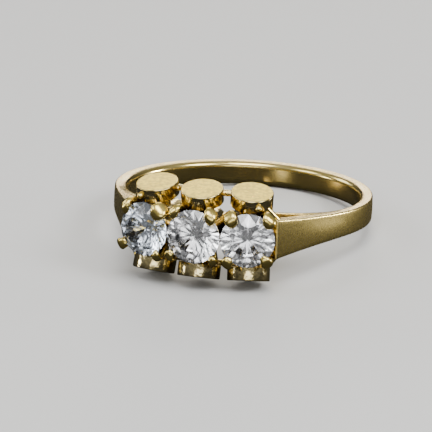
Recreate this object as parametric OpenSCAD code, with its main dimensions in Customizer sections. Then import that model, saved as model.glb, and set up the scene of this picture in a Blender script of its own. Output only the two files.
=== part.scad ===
// Three stone ring: a gold ring with three round stones in a row, each between two plain side discs.
// The ring is worked out with its finger hole upright and its stones to the front, and is then laid
// down as it rests by itself: on two of its lower side discs and on the back of its shank.

/* [Finger hole] */
// Diameter of the finger hole
finger_d = 17.8; // [16:0.1:20]

/* [Shank] */
// Thickness of the shank, outwards from the finger
shank_t = 1; // [0.9:0.05:1.3]
// Width of the shank at the back, along the finger
shank_w = 1.88; // [1.6:0.02:2.2]
// How far in front of the finger's centre the shank starts to widen
flare_start = 1.5; // [0.5:0.1:2.5]
// Depth to which the flat of each shoulder is cut into the round of the shank
shoulder_cut = 0.05; // [0.03:0.01:0.1]
// Width of each shoulder at its end beside the head
shoulder_w = 3.04; // [2.6:0.02:3.4]
// How far the end of each shoulder lies below the edge of the outer stone
shoulder_drop = 0.95; // [0.8:0.05:1.1]
// How far the end of each shoulder lies beyond the edge of the outer stone
shoulder_side = 0.18; // [0.1:0.02:0.36]
// Thickness of the outer leaf of each forked shoulder
leaf_t = 0.9; // [0.75:0.05:1]

/* [Bridge] */
// Thickness of the inner leaves and of the bridge under the head
bridge_t = 0.75; // [0.6:0.05:0.85]
// Width that the inner leaves' flare would reach under the middle stone, along the finger
bridge_w = 3.2; // [2.8:0.05:3.6]
// Width of the bridge where the gallery's windows leave it narrow
waist_w = 2.1; // [2:0.05:2.4]

/* [Gallery] */
// Distance from the finger hole to the outside of the gallery
gallery_out = 1.05; // [0.95:0.05:1.15]
// Thickness of the gallery, outwards from the finger
gallery_t = 0.55; // [0.45:0.05:0.65]
// Width of the gallery, along the finger
gallery_w = 5.76; // [5.4:0.04:6]
// Width of the rail on either side of the gallery
rail_w = 0.47; // [0.4:0.01:0.6]
// Width of the cheek at either end of the gallery
cheek_w = 0.42; // [0.35:0.01:0.55]
// How far the gallery's ends lie beyond the outer side discs
cheek_out = 0.1; // [0:0.05:0.25]

/* [Stones] */
// Diameter of each stone
stone_d = 4; // [3.8:0.05:4.2]
// Diameter of each stone's table, across its corners
table_d = 2.25; // [2:0.05:2.5]
// Height of each stone above its girdle
crown_h = 0.6; // [0.5:0.05:0.7]
// Depth of each stone below its girdle
pavilion_h = 1.7; // [1.6:0.05:1.8]
// Thickness of each stone's girdle, its widest edge
girdle_t = 0.12; // [0.08:0.02:0.2]
// How far in from the girdle the star facets reach
star_in = 0.56; // [0.5:0.02:0.6]
// How far out from the point the lower half facets reach
lower_half_out = 0.5; // [0.4:0.05:0.6]
// Gap between the edges of neighbouring stones
stone_gap = 0.06; // [0.04:0.01:0.2]
// How far the middle of the stones and of the gallery lies above the middle of the shank
stone_raise = 0.14; // [0:0.02:0.2]
// Gap between each stone and the metal that holds it
stone_clearance = 0.03; // [0.02:0.01:0.05]

/* [Settings] */
// Height of the stones' points above the bridge
stone_lift = 1.76; // [1.6:0.02:1.9]
// Outer diameter of the collet under each stone
collet_d = 3.1; // [2.9:0.05:3.3]
// Diameter of the light hole through each collet and the bridge
light_hole_d = 1.7; // [1.5:0.05:1.8]
// Width of each claw
claw_w = 0.75; // [0.6:0.05:0.85]
// How far each claw stands out beyond the edge of its stone
claw_out = 0.36; // [0.3:0.02:0.5]
// Thickness of each claw's tip over the stone
claw_tip_t = 0.34; // [0.28:0.02:0.4]
// How far each claw's tip reaches in over the edge of its stone
claw_reach = 0.42; // [0.3:0.02:0.6]
// Angle of the claws between the stones above the row of stones, in degrees
inner_claw_turn = 52; // [45:1:56]
// Angle of the claws beside the shoulders above the row of stones, in degrees
outer_claw_turn = 42; // [38:1:48]

/* [Side discs] */
// Diameter of each side disc
disc_d = 3.15; // [2.9:0.05:3.3]
// Thickness of each side disc
disc_t = 1.05; // [0.9:0.05:1.15]
// Lean of each side disc's face away from the finger, in degrees
disc_lean = 14.5; // [10:0.5:18]
// Height of the middle of each disc's face above the edge of its stone
disc_rise = 1.36; // [1.3:0.02:1.6]
// How far the middle of each disc's face lies behind the middle of the stone's girdle
disc_setback = 1.85; // [1.7:0.05:2]
// Gap between the rims of neighbouring side discs
disc_gap = 0.6; // [0.3:0.05:0.8]
// Diameter of the stem that carries each side disc
stem_d = 1.7; // [1.4:0.1:1.9]

/* [Corner wires] */
// Diameter of the corner wires between the shoulders and the outer side discs
wire_d = 0.55; // [0.45:0.05:0.65]

/* [Hidden] */
$fn = 96;
gold = "#c9a95a";
crystal = "#dfe6ee";
// Smoothness of the long arcs along which the shank widens
long_arc = 200;
// Room left around a cutting shape, so that it runs past what it cuts
past = 1;
// Angle by which parts of the shank that are joined run under each other
lap = 2;
// Direction in which a corner wire meets the rim of its disc, seen from above
wire_turn = 45;
// Number of steps in which the resting angle is worked out, and the angle it starts from
rest_steps = 6;
rest_start = 8;
// Number of places round the stone at which its main facets lie
mains = 8;
step = 360 / mains;

bore_r = finger_d / 2;
outer_r = bore_r + shank_t;
bridge_r = bore_r + bridge_t;
stone_r = stone_d / 2;
table_r = table_d / 2;
// Distances from the finger's centre to the stone's parts, outwards through the stone's middle
point_y = bridge_r + stone_lift;
girdle_y = point_y + pavilion_h + girdle_t / 2;
table_y = girdle_y + girdle_t / 2 + crown_h;

// Angle about the finger between two round things of radius r at distance y, with a gap between them
function turn_between(r, y, gap) = 2 * (atan(r / y) + asin(gap / 2 / norm([y, r])));
stone_turn = turn_between(stone_r, girdle_y, stone_gap);

// Place of each side disc's face, and of the far end of its stem
disc_y = girdle_y - disc_setback;
disc_z = stone_r + disc_rise;
stem_len = disc_z - stone_raise - collet_d / 4 - light_hole_d / 4;
disc_turn = turn_between(disc_d / 2, disc_y, disc_gap);

// The gallery's outer side, and how far round the finger it and its windows run
gallery_r = bore_r + gallery_out;
gallery_turn = disc_turn + asin((disc_d / 2 + cheek_out) / gallery_r);
window_turn = gallery_turn - cheek_w / gallery_r * 180 / PI;

// The shoulder's end corner in line with the outer stone, then its place in the ring
corner_out = girdle_y - girdle_t / 2 - shoulder_drop;
corner_side = stone_r + shoulder_side;
corner_dist = norm([corner_out, corner_side]);
corner_turn = stone_turn + atan(corner_side / corner_out);
// The flat of the shoulder: its distance from the finger's centre and the direction it faces
flat_dist = outer_r - shoulder_cut;
flat_turn = corner_turn + acos(flat_dist / corner_dist);
flat_len = sqrt(corner_dist ^ 2 - flat_dist ^ 2);
// Where the inside of the outer leaf meets the middle of the inner leaf
fork_len = sqrt((bore_r + bridge_t / 2) ^ 2 - (flat_dist - leaf_t) ^ 2);
// The round of the shank runs forward as far as the flat's own start, and a little under it
round_turn = flat_turn - acos(flat_dist / outer_r) - lap;
// The bridge runs back as far as the solid part of the shoulders
bridge_turn = flat_turn - acos(flat_dist / outer_r) - 2 * lap;

// Radius of the arc that widens a band from the shank's width to width w at distance y from the centre
function flare_r(w, y) = ((y - flare_start) ^ 2 + ((w - shank_w) / 2) ^ 2) / (w - shank_w);
shoulder_y = corner_dist * cos(corner_turn);

// Resting angle: the tilt at which the outer lower discs and the shank's back touch the ground together
function disc_low(t) = norm([
    sin(disc_turn) * sin(t),
    cos(disc_lean) * cos(disc_turn) * sin(t) + sin(disc_lean) * cos(t)
]) * disc_d / 2;
function next_tilt(t) = atan(
    (disc_z + disc_low(t) / cos(t) - shank_w / 2) / (disc_y * cos(disc_turn) + outer_r)
);
function rest_tilt(n, t) = n == 0 ? t : rest_tilt(n - 1, next_tilt(t));
tilt = rest_tilt(rest_steps, rest_start);
rest_z = outer_r * sin(tilt) + shank_w / 2 * cos(tilt);
front_reach = table_y * cos(tilt) + table_r * sin(tilt);
back_reach = outer_r * cos(tilt) + shank_w / 2 * sin(tilt);
rest_y = (front_reach - back_reach) / 2;

// Lays the upright ring down as it rests, with its middle above the origin
module lie() {
    translate([0, rest_y, rest_z]) rotate([-tilt, 0, 0]) children();
}

// Raises a part that lies in line with the stones
module at_head() {
    translate([0, 0, stone_raise]) children();
}

// Turns a part to stone number place, from -1 at the left to 1 at the right, with Z outwards
module at_stone(place) {
    at_head() rotate([0, 0, place * stone_turn]) rotate([90, 0, 0]) children();
}

module both_sides() {
    children();
    mirror([1, 0, 0]) children();
}

module both_ends() {
    children();
    mirror([0, 0, 1]) children();
}

// Outline of everything in front of a turn away from the stones, seen along the finger
module front_sector(turn) {
    far = 4 * outer_r;
    polygon([
        [0, 0],
        [far * sin(turn), -far * cos(turn)],
        [0, -far],
        [-far * sin(turn), -far * cos(turn)]
    ]);
}

// A point of the right shoulder: along its flat towards the head, and out from the finger's centre
function shoulder_point(along, out) = [
    out * sin(flat_turn) - along * cos(flat_turn),
    -out * cos(flat_turn) - along * sin(flat_turn)
];

// The round of the shank and the two outer leaves, seen along the finger
module shank_plan() {
    difference() {
        circle(r = outer_r);
        front_sector(round_turn);
    }
    both_sides() polygon([
        shoulder_point(0, flat_dist),
        shoulder_point(flat_len, flat_dist),
        shoulder_point(flat_len, flat_dist - leaf_t),
        shoulder_point(fork_len, flat_dist - leaf_t),
        shoulder_point(0, bore_r - past)
    ]);
}

// The inner leaves and the bridge, seen along the finger
module bridge_plan() {
    intersection() {
        circle(r = bridge_r);
        front_sector(bridge_turn);
    }
}

// A band from the side: shank_w wide at the back, widening along an arc to w at distance y
module side_profile(w, y) {
    r = flare_r(w, y);
    difference() {
        translate([-table_y - past, -w / 2 - past]) square([table_y + outer_r + 2 * past, w + 2 * past]);
        for (end = [-1, 1]) {
            translate([-flare_start, end * (shank_w / 2 + r)]) circle(r = r, $fn = long_arc);
            translate([-flare_start, end > 0 ? shank_w / 2 : -shank_w / 2 - w])
                square([outer_r + 2 * past + flare_start, w]);
        }
    }
}

// Raises a plan to a band whose width follows the side profile
module band(w, y) {
    intersection() {
        linear_extrude(height = w + past, center = true) children();
        rotate([90, 0, 90])
            linear_extrude(height = 4 * outer_r, center = true)
            side_profile(w, y);
    }
}

// A sheet that follows the finger from radius r inwards by t, as far as a turn on either side
module curved_sheet(r, t, turn, h) {
    linear_extrude(height = h, center = true) intersection() {
        difference() {
            circle(r = r);
            circle(r = r - t);
        }
        front_sector(turn);
    }
}

module shank() {
    band(shoulder_w, shoulder_y) shank_plan();
}

module bridge() {
    band(bridge_w, bridge_r) bridge_plan();
}

// An upright sheet behind the stones, from the upper side discs to the lower ones
module gallery() {
    at_head() curved_sheet(gallery_r, gallery_t, gallery_turn, gallery_w);
}

// The long windows that leave the gallery a rail at its edge and the bridge a narrow waist
module windows() {
    window_h = (gallery_w - waist_w) / 2 - rail_w;
    at_head() both_ends() translate([0, 0, (waist_w + window_h) / 2])
        curved_sheet(gallery_r + past, gallery_out + 2 * past, window_turn, window_h);
}

// A short tube behind the stone, from inside the bridge up to the stone's underside
module collet() {
    translate([0, 0, bore_r]) cylinder(d = collet_d, h = girdle_y - girdle_t - bore_r);
}

// Side view of a claw, turned about the stone's middle: it leans out to the girdle and bends over it
module claw_ring() {
    foot_r = light_hole_d / 2;
    out_r = stone_r + claw_out;
    tip_r = stone_r - claw_reach;
    top_y = table_y - crown_h * (tip_r - table_r) / (stone_r - table_r) + claw_tip_t;
    rotate_extrude() polygon([
        [foot_r, point_y - pavilion_h / 3],
        [collet_d / 2, point_y - pavilion_h / 3],
        [out_r, girdle_y - girdle_t],
        [out_r, girdle_y + claw_tip_t / 2],
        [out_r - claw_tip_t / 2, girdle_y + claw_tip_t],
        [tip_r + claw_tip_t / 2, top_y],
        [tip_r, top_y - claw_tip_t / 4],
        [tip_r, girdle_y],
        [foot_r, girdle_y - pavilion_h / 2]
    ]);
}

// A claw seen from the front: its foot runs in to the collet, and its tip is rounded
module claw_foot() {
    translate([0, -claw_w / 2]) square([stone_r + claw_out + past, claw_w]);
}

module claw_tongue() {
    tip = stone_r - claw_reach + claw_w / 2;
    translate([tip, 0]) circle(d = claw_w);
    translate([tip, -claw_w / 2]) square([stone_r + claw_out + past - tip, claw_w]);
}

// The four claws of one stone: those beside a shoulder lie lower than those between two stones
module claws(place) {
    intersection() {
        claw_ring();
        for (side = [-1, 1], end = [-1, 1]) {
            turn = place * side > 0 ? outer_claw_turn : inner_claw_turn;
            rotate(side > 0 ? end * turn : 180 - end * turn) {
                translate([0, 0, bore_r]) linear_extrude(height = girdle_y - girdle_t - bore_r) claw_foot();
                translate([0, 0, bore_r]) linear_extrude(height = table_y + past - bore_r) claw_tongue();
            }
        }
    }
}

// The room that a stone takes up, with its clearance
module stone_room() {
    r = stone_r + stone_clearance;
    rotate_extrude() polygon([
        [0, point_y - stone_clearance],
        [r, girdle_y - girdle_t / 2 - stone_clearance],
        [r, girdle_y + girdle_t / 2 + stone_clearance],
        [table_r + stone_clearance, table_y + stone_clearance],
        [table_r + stone_clearance, table_y + past],
        [0, table_y + past]
    ]);
}

// Puts a part on the lean of a side disc: Z leaves its face, and its face's middle is at the origin
module at_disc(turn) {
    rotate([0, 0, turn]) translate([0, -disc_y, disc_z]) rotate([disc_lean, 0, 0]) children();
}

// One side disc on its stem
module side_disc(place) {
    at_disc(place * disc_turn) {
        translate([0, 0, -disc_t]) cylinder(d = disc_d, h = disc_t);
        translate([0, 0, -stem_len]) cylinder(d = stem_d, h = stem_len - disc_t / 2);
    }
}

// A wire from the end corner of the right shoulder up to the rim of the outer side disc
module corner_wire() {
    corner = shoulder_point(flat_len - leaf_t, flat_dist - leaf_t / 2);
    from = [corner.x, corner.y, shoulder_w / 2 - wire_d];
    rim = disc_d / 2 - wire_d / 2;
    side = rim * sin(wire_turn);
    low = disc_t - wire_d / 2;
    along = rim * cos(wire_turn);
    foot_y = disc_y - low * sin(disc_lean) + along * cos(disc_lean);
    to = [
        side * cos(disc_turn) + foot_y * sin(disc_turn),
        side * sin(disc_turn) - foot_y * cos(disc_turn),
        disc_z - low * cos(disc_lean) - along * sin(disc_lean)
    ];
    run = to - from;
    translate(from)
        rotate([0, acos(run.z / norm(run)), atan2(run.y, run.x)])
        cylinder(d = wire_d, h = norm(run));
}

module ring_metal() {
    color(gold) lie() difference() {
        union() {
            shank();
            difference() {
                union() {
                    bridge();
                    gallery();
                }
                windows();
            }
            for (place = [-1:1]) {
                at_stone(place) collet();
                at_stone(place) claws(place);
                both_ends() side_disc(place);
            }
            both_ends() both_sides() corner_wire();
        }
        cylinder(r = bore_r, h = 4 * disc_z, center = true);
        for (place = [-1:1]) at_stone(place) {
            stone_room();
            cylinder(d = light_hole_d, h = girdle_y);
        }
    }
}

// Round brilliant cut, with its point down and Z through its middle
function around(r, turn, z) = [r * cos(turn), r * sin(turn), z];
// Heights that keep each kite facet and each lower main facet flat
star_r = stone_r - star_in;
star_z = girdle_t / 2 + crown_h * (stone_r - star_r * cos(step / 2)) / (stone_r - table_r);
half_z = -girdle_t / 2 - pavilion_h * (1 - lower_half_out * cos(step / 2) / stone_r);

// Corner numbers of a stone, ring by ring from its table down to its point
function table_at(i) = i % mains;
function star_at(i) = mains + i % mains;
function top_at(i) = 2 * mains + i % (2 * mains);
function edge_at(i) = 4 * mains + i % (2 * mains);
function half_at(i) = 6 * mains + i % mains;
culet = 7 * mains;

module brilliant() {
    corners = [
        for (i = [0:mains - 1]) around(table_r, i * step, girdle_t / 2 + crown_h),
        for (i = [0:mains - 1]) around(star_r, (i + 1 / 2) * step, star_z),
        for (i = [0:2 * mains - 1]) around(stone_r, i * step / 2, girdle_t / 2),
        for (i = [0:2 * mains - 1]) around(stone_r, i * step / 2, -girdle_t / 2),
        for (i = [0:mains - 1]) around(lower_half_out, (i + 1 / 2) * step, half_z),
        [0, 0, -girdle_t / 2 - pavilion_h]
    ];
    facets = [
        [for (i = [mains - 1:-1:0]) table_at(i)],
        for (i = [0:mains - 1]) each [
            [table_at(i), table_at(i + 1), star_at(i)],
            [table_at(i + 1), star_at(i + 1), top_at(2 * i + 2), star_at(i)],
            [star_at(i), top_at(2 * i + 1), top_at(2 * i)],
            [star_at(i), top_at(2 * i + 2), top_at(2 * i + 1)],
            [half_at(i), edge_at(2 * i), edge_at(2 * i + 1)],
            [half_at(i), edge_at(2 * i + 1), edge_at(2 * i + 2)],
            [culet, half_at(i), edge_at(2 * i + 2), half_at(i + 1)]
        ],
        for (i = [0:2 * mains - 1]) [top_at(i), top_at(i + 1), edge_at(i + 1), edge_at(i)]
    ];
    polyhedron(points = corners, faces = facets, convexity = 2);
}

module stone(place) {
    color(crystal) lie() at_stone(place) translate([0, 0, girdle_y]) brilliant();
}

module stone_left() {
    stone(-1);
}

module stone_middle() {
    stone(0);
}

module stone_right() {
    stone(1);
}

ring_metal();
stone_left();
stone_middle();
stone_right();
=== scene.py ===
# %% [markdown]
# # A three stone ring, lying on its side
# The ring is of yellow gold: a shank whose shoulders fork in two, three claw settings with round stones,
# and a plain round disc above and below each stone. It lies on a pale floor.
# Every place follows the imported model. This script builds the pieces that show, with rounder edges and
# cleaner surfaces than the model has, and gives each its finish.

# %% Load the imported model
import math

import bmesh
import bpy
from mathutils import Matrix, Vector


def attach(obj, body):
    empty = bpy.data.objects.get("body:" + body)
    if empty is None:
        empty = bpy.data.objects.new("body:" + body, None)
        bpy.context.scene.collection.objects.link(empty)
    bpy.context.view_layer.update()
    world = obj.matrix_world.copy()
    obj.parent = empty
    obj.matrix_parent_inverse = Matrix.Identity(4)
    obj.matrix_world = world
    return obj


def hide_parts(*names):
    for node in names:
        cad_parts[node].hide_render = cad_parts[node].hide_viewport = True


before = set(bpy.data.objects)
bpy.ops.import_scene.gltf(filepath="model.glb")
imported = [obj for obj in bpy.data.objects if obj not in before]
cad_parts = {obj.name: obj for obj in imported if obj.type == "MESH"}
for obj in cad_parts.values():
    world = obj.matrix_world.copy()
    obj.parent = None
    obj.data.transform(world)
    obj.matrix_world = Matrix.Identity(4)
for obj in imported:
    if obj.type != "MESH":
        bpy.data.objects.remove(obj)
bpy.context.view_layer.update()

# %% [markdown]
# ## Sizes and places
# The ring is worked out upright, with the finger hole along Z and the stones towards -Y, in millimetres.
# A single matrix then lays it down as it rests, on two lower discs and on the back of the shank, and
# turns millimetres into metres. Working upright keeps every formula short, because most pieces are
# placed by an angle about the finger.

# %% Sizes of the ring, in millimetres
BORE_R = 8.9
SHANK_T = 1.0
OUTER_R = BORE_R + SHANK_T
SHANK_W = 1.88
FLARE_START = 1.5  # the band widens from this far in front of the finger's centre
SHOULDER_W = 3.04
SHOULDER_DROP = 0.95  # the shoulder's corner lies this far behind the girdle
SHOULDER_SIDE = 0.18  # and this far beside the stone
SHOULDER_CUT = 0.05  # the shoulder's flat lies this far below the round of the band
LEAF_T = 0.9
BRIDGE_T = 0.75
BRIDGE_R = BORE_R + BRIDGE_T
BRIDGE_W = 3.2
WAIST_W = 2.1
GALLERY_RISE = 1.05
GALLERY_R = BORE_R + GALLERY_RISE
GALLERY_T = 0.55
GALLERY_W = 5.76
RAIL_W = 0.47
STONE_R = 2.0
STONE_GAP = 0.06
TABLE_R = 1.125
CROWN_H = 0.6
PAVILION_H = 1.7
GIRDLE_T = 0.12
POINT_RISE = 1.76  # the stone's point stands this far off the bridge
STONE_RAISE = 0.14  # the stones lie this far above the middle of the band
COLLET_R = 1.55
LIGHT_HOLE_R = 0.85
DISC_R = 1.575
DISC_T = 1.05
DISC_GAP = 0.6
DISC_LEAN = 14.5
DISC_RISE = 1.36
DISC_SETBACK = 1.85
WIRE_D = 0.55
PLACES = {-1: "left", 0: "middle", 1: "right"}
ENDS = {1: "upper", -1: "lower"}
print("finger hole", 2 * BORE_R, "mm and stones", 2 * STONE_R, "mm across")

# %% Angles in degrees


def sin(degrees):
    return math.sin(math.radians(degrees))


def cos(degrees):
    return math.cos(math.radians(degrees))


def angle(opposite, adjacent):
    return math.degrees(math.atan2(opposite, adjacent))


def turn_between(r, y, gap):
    """Angle about the finger between two round things of radius r at distance y."""
    return 2 * (angle(r, y) + math.degrees(math.asin(gap / 2 / math.hypot(y, r))))


# %% Places of the stones and discs
POINT_Y = BRIDGE_R + POINT_RISE
GIRDLE_Y = POINT_Y + PAVILION_H + GIRDLE_T / 2
TABLE_Y = GIRDLE_Y + GIRDLE_T / 2 + CROWN_H
DISC_Y = GIRDLE_Y - DISC_SETBACK
DISC_Z = STONE_R + DISC_RISE
STONE_TURN = turn_between(STONE_R, GIRDLE_Y, STONE_GAP)
DISC_TURN = turn_between(DISC_R, DISC_Y, DISC_GAP)
print("stones", round(STONE_TURN, 3), "and discs", round(DISC_TURN, 3), "degrees apart")

# %% The flat of the shoulder
corner_out = GIRDLE_Y - GIRDLE_T / 2 - SHOULDER_DROP
corner_side = STONE_R + SHOULDER_SIDE
corner_dist = math.hypot(corner_out, corner_side)
corner_turn = STONE_TURN + angle(corner_side, corner_out)
SHOULDER_Y = corner_dist * cos(corner_turn)
FLAT_DIST = OUTER_R - SHOULDER_CUT
FLAT_TURN = corner_turn + math.degrees(math.acos(FLAT_DIST / corner_dist))
FLAT_LEN = math.sqrt(corner_dist**2 - FLAT_DIST**2)
print("flat", round(FLAT_LEN, 3), "mm long, at", round(FLAT_TURN, 3), "degrees")

# %% How the ring rests
REST_START = 8.0  # degrees
REST_STEPS = 6
METRES = 0.001  # in a millimetre

tilt = REST_START
for _ in range(REST_STEPS):
    across = sin(DISC_TURN) * sin(tilt)
    down = cos(DISC_LEAN) * cos(DISC_TURN) * sin(tilt) + sin(DISC_LEAN) * cos(tilt)
    low = math.hypot(across, down) * DISC_R
    tilt = angle(DISC_Z + low / cos(tilt) - SHANK_W / 2, DISC_Y * cos(DISC_TURN) + OUTER_R)
rest_z = OUTER_R * sin(tilt) + SHANK_W / 2 * cos(tilt)
front_reach = TABLE_Y * cos(tilt) + TABLE_R * sin(tilt)
back_reach = OUTER_R * cos(tilt) + SHANK_W / 2 * sin(tilt)
rest_place = Matrix.Translation((0, (front_reach - back_reach) / 2, rest_z))
LAY_DOWN = rest_place @ Matrix.Rotation(-math.radians(tilt), 4, "X")
TO_FLOOR = Matrix.Scale(METRES, 4) @ LAY_DOWN
print("tilt", round(tilt, 4), "degrees")


def turned(degrees, axis):
    return Matrix.Rotation(math.radians(degrees), 4, axis)


def at_stone(place):
    """Frame of stone number place, -1, 0 or 1: Z leaves the finger, Y goes up the finger."""
    return Matrix.Translation((0, 0, STONE_RAISE)) @ turned(place * STONE_TURN, "Z") @ turned(90, "X")


def at_disc(place, end):
    """Frame of a disc: Z leaves its face. end is 1 above the stones and -1 below them."""
    flip = Matrix.Diagonal((1, 1, end, 1))
    out = Matrix.Translation((0, -DISC_Y, DISC_Z))
    return flip @ turned(place * DISC_TURN, "Z") @ out @ turned(DISC_LEAN, "X")


# %% [markdown]
# ## The camera
# The photograph was taken from a little above, with a long lens. The place was found by matching the
# rim, the discs and the stones to the picture. A constraint that aims the camera at the ring would be
# shorter, but it leaves no room for the photograph's small roll. So the camera is set by a matrix: its
# right, up and back directions, worked out beside the upright ring and laid down with it.

# %% Directions of the camera
CAM_AZIMUTH, CAM_ELEVATION, CAM_ROLL = 15.612, 13.633, 2.637
CAM_DISTANCE = 250.0
PICTURE = 432
FOCAL_PX = 3266.05
CENTRE_PX = (243.312, 199.832)

level = cos(CAM_ELEVATION)
back = Vector((sin(CAM_AZIMUTH) * level, -cos(CAM_AZIMUTH) * level, sin(CAM_ELEVATION)))
side = Vector((cos(CAM_AZIMUTH), sin(CAM_AZIMUTH), 0))
rise = back.cross(side)
right = side * cos(CAM_ROLL) + rise * sin(CAM_ROLL)
up = rise * cos(CAM_ROLL) - side * sin(CAM_ROLL)
ahead = -back
pan = math.degrees(math.atan((CENTRE_PX[0] - PICTURE / 2) / FOCAL_PX))
nod = math.degrees(math.atan(-(CENTRE_PX[1] - PICTURE / 2) / FOCAL_PX * cos(pan)))
right, ahead = right * cos(pan) + ahead * sin(pan), ahead * cos(pan) - right * sin(pan)
up, ahead = up * cos(nod) + ahead * sin(nod), ahead * cos(nod) - up * sin(nod)
print("camera pans", round(pan, 3), "and nods", round(nod, 3), "degrees")

# %% Camera


def new_object(name, data):
    made = bpy.data.objects.new(name, data)
    bpy.context.scene.collection.objects.link(made)
    return made


axes = Matrix((right, up, -ahead)).transposed().to_4x4()
camera_data = bpy.data.cameras.new("camera")
camera_data.sensor_width = 36.0
camera_data.lens = FOCAL_PX * camera_data.sensor_width / PICTURE
camera_data.clip_start = 0.01
camera = new_object("camera", camera_data)
turn_only = LAY_DOWN.to_3x3().to_4x4()
camera.matrix_world = Matrix.Translation(TO_FLOOR @ (back * CAM_DISTANCE)) @ turn_only @ axes
bpy.context.scene.camera = camera
print("camera at", [round(v, 4) for v in camera.location], "lens", round(camera_data.lens, 1), "mm")

# %% [markdown]
# ## Shared finishes
# Gold is never one flat colour. Its alloy tone drifts a little, recesses are painted darker, which is painted
# shade with some tarnish, brushing leaves a fine grain, and polish leaves soft waves that bend reflections.
# Each of these is a node group with named inputs, built once here and placed in each finish with its own
# values.
# Pictures of worn metal could do the same, but every piece would have to be unwrapped for them. Noise in
# the object's own coordinates fills the whole space, so it needs no seams.

# %% Helpers for node groups


def new_group(name, inputs, outputs):
    """A shader node group and its two ends. inputs is {name: default}, outputs is {name: kind of socket}."""
    group = bpy.data.node_groups.new(name, "ShaderNodeTree")
    for socket, value in inputs.items():
        kind = "NodeSocketColor" if isinstance(value, tuple) else "NodeSocketFloat"
        made = group.interface.new_socket(socket, in_out="INPUT", socket_type=kind)
        made.default_value = value
    for socket, kind in outputs.items():
        group.interface.new_socket(socket, in_out="OUTPUT", socket_type=kind)
    return group, group.nodes.new("NodeGroupInput"), group.nodes.new("NodeGroupOutput")


def give(node, values):
    """Feeds inputs of a node. values is {name or place of the input: value, or the output that feeds it}."""
    for place, value in values.items():
        if isinstance(value, bpy.types.NodeSocket):
            value.id_data.links.new(value, node.inputs[place])
        else:
            node.inputs[place].default_value = value
    return node


def new_node(tree, kind, values):
    return give(tree.nodes.new("ShaderNode" + kind), values)


def placed(tree, group, values):
    """A group in a material, with values of its own for some of its inputs."""
    node = tree.nodes.new("ShaderNodeGroup")
    node.node_tree = group
    return give(node, values)


# %% Helpers for numbers, noise and colours
NOISE_MIDDLE = 0.5  # noise runs from 0 to 1 about this
MIX_FIRST, MIX_SECOND, MIX_RESULT = 6, 7, 2  # places of the colour sockets on a Mix node


def math_node(tree, operation, a, b):
    node = new_node(tree, "Math", {0: a, 1: b})
    node.operation = operation
    return node.outputs["Value"]


def noise_node(tree, scale, detail, roughness=0.5, stretch=(1, 1, 1)):
    """Noise in the object's own coordinates."""
    place = tree.nodes.new("ShaderNodeTexCoord").outputs["Object"]
    stretched = new_node(tree, "Mapping", {"Vector": place, "Scale": stretch}).outputs["Vector"]
    looks = {"Vector": stretched, "Scale": scale, "Detail": detail, "Roughness": roughness}
    return new_node(tree, "TexNoise", looks).outputs["Fac"]


def swing(tree, noise, amount, about):
    """Noise made into a value that swings about another by an amount."""
    centred = math_node(tree, "SUBTRACT", noise, NOISE_MIDDLE)
    return math_node(tree, "ADD", math_node(tree, "MULTIPLY", centred, amount), about)


def colour_mix(tree, factor, first, second):
    node = tree.nodes.new("ShaderNodeMix")
    node.data_type = "RGBA"
    return give(node, {"Factor": factor, MIX_FIRST: first, MIX_SECOND: second}).outputs[MIX_RESULT]


# %% Group: alloy tone
alloy_tone, g_in, g_out = new_group(
    "alloy_tone",
    {"Gold": (0.8, 0.6, 0.3, 1.0), "Deep gold": (0.6, 0.4, 0.15, 1.0), "Patch size": 600.0, "Contrast": 1.0},
    {"Color": "NodeSocketColor"},
)
patches = noise_node(alloy_tone, g_in.outputs["Patch size"], detail=3.0)
share = swing(alloy_tone, patches, g_in.outputs["Contrast"], NOISE_MIDDLE)
tone = colour_mix(alloy_tone, share, g_in.outputs["Gold"], g_in.outputs["Deep gold"])
give(g_out, {"Color": tone})
print("group", alloy_tone.name)

# %% Group: painted recess shade
painted_recess_shade, g_in, g_out = new_group(
    "painted_recess_shade",
    {
        "Gold": (0.8, 0.6, 0.3, 1.0), "Shade and tarnish": (0.1, 0.07, 0.03, 1.0),
        "Reach": 0.0006, "Deep": 0.2, "Open": 0.7,
    },
    {"Color": "NodeSocketColor"},
)
# Ambient occlusion darkens the colour towards a dark brown in recesses: painted shade, with some tarnish.
occlusion = new_node(painted_recess_shade, "AmbientOcclusion", {"Distance": g_in.outputs["Reach"]})
occlusion.samples = 8
openness = new_node(painted_recess_shade, "MapRange", {
    "Value": occlusion.outputs["AO"], "From Min": g_in.outputs["Deep"], "From Max": g_in.outputs["Open"],
})
shaded = colour_mix(painted_recess_shade, openness.outputs["Result"], g_in.outputs["Shade and tarnish"], g_in.outputs["Gold"])
give(g_out, {"Color": shaded})
print("group", painted_recess_shade.name)

# %% Group: satin grain
satin_grain, g_in, g_out = new_group(
    "satin_grain",
    {"Grain size": 9000.0, "Roughness": 0.4, "Spread": 0.15},
    {"Height": "NodeSocketFloat", "Roughness": "NodeSocketFloat"},
)
grain = noise_node(satin_grain, g_in.outputs["Grain size"], detail=2.0, roughness=0.6)
rough = swing(satin_grain, grain, g_in.outputs["Spread"], g_in.outputs["Roughness"])
give(g_out, {"Height": grain, "Roughness": rough})
print("group", satin_grain.name)

# %% Group: hand polish
hand_polish, g_in, g_out = new_group(
    "hand_polish",
    {"Wave size": 900.0, "Scratch size": 6000.0, "Scratches": 0.1},
    {"Height": "NodeSocketFloat"},
)
waves = noise_node(hand_polish, g_in.outputs["Wave size"], detail=1.0, roughness=0.4)
scratches = noise_node(
    hand_polish, g_in.outputs["Scratch size"], detail=2.0, roughness=0.6, stretch=(1, 1, 0.2)
)
fine = math_node(hand_polish, "MULTIPLY", scratches, g_in.outputs["Scratches"])
give(g_out, {"Height": math_node(hand_polish, "ADD", waves, fine)})
print("group", hand_polish.name)
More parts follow.
